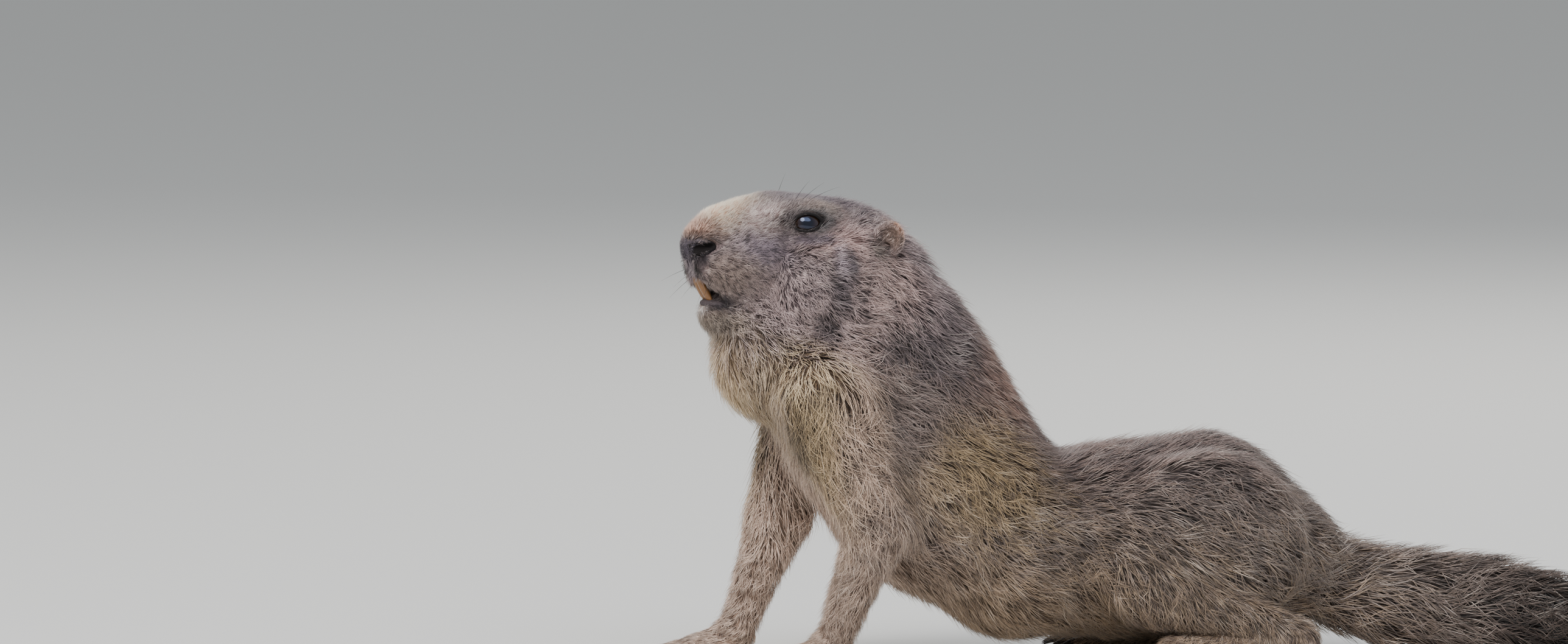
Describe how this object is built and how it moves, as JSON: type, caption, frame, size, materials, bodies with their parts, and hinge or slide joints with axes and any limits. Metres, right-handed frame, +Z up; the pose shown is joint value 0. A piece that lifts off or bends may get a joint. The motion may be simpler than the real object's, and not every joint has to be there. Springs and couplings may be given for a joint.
{
  "type": "alpine marmot",
  "caption": "Life-size alpine marmot resting low on its haunches with forelegs propped and head raised, thick coat, small round ears, bushy tail laid on the floor.",
  "frame": {"origin": "bottom centre of the bounding box, on the floor the animal rests on", "axes": "+X from the nose towards the tail, +Y to the animal's right, +Z up"},
  "size_m": [0.4622, 0.1808, 0.2253],
  "materials": {
    "head_fur": "short grizzled fur, mauve-grey with pale tips",
    "nose_skin": "bare dark skin, slightly moist",
    "ear_skin": "very short tan fur",
    "eye": "wet, near black",
    "incisor": "orange enamel",
    "neck_fur": "long cream and brown fur",
    "torso_fur": "long dark brown fur with light tips",
    "arm_fur": "long shaggy fur, cream tips over brown",
    "forearm_fur": "pale beige fur",
    "paw_fur": "short pale brown fur",
    "thigh_fur": "long golden brown fur",
    "leg_fur": "short brown fur",
    "tail_fur": "long brown fur",
    "tail_tip_fur": "long blackish brown fur",
    "claw": "dark horn, worn at the tip"
  },
  "bodies": {
    "root": {"claw_fore_left_1": "claw", "claw_fore_left_2": "claw", "claw_fore_left_3": "claw", "claw_fore_left_4": "claw", "claw_fore_right_1": "claw", "claw_fore_right_2": "claw", "claw_fore_right_3": "claw", "claw_fore_right_4": "claw", "claw_hind_left_1": "claw", "claw_hind_left_2": "claw", "claw_hind_left_3": "claw", "claw_hind_left_4": "claw", "claw_hind_left_5": "claw", "claw_hind_right_1": "claw", "claw_hind_right_2": "claw", "claw_hind_right_3": "claw", "claw_hind_right_4": "claw", "claw_hind_right_5": "claw", "ear_left": "ear_skin", "ear_right": "ear_skin", "eye_left": "eye", "eye_right": "eye", "forearm_left": "forearm_fur", "forearm_right": "forearm_fur", "forepaw_left": "paw_fur", "forepaw_right": "paw_fur", "head": "head_fur", "hindfoot_left": "paw_fur", "hindfoot_right": "paw_fur", "incisor_left": "incisor", "incisor_right": "incisor", "neck": "neck_fur", "nose": "nose_skin", "shank_left": "leg_fur", "shank_right": "leg_fur", "tail_base": "tail_fur", "tail_tip": "tail_tip_fur", "thigh_left": "thigh_fur", "thigh_right": "thigh_fur", "torso": "torso_fur", "upper_arm_left": "arm_fur", "upper_arm_right": "arm_fur"}
  },
  "joints": []
}
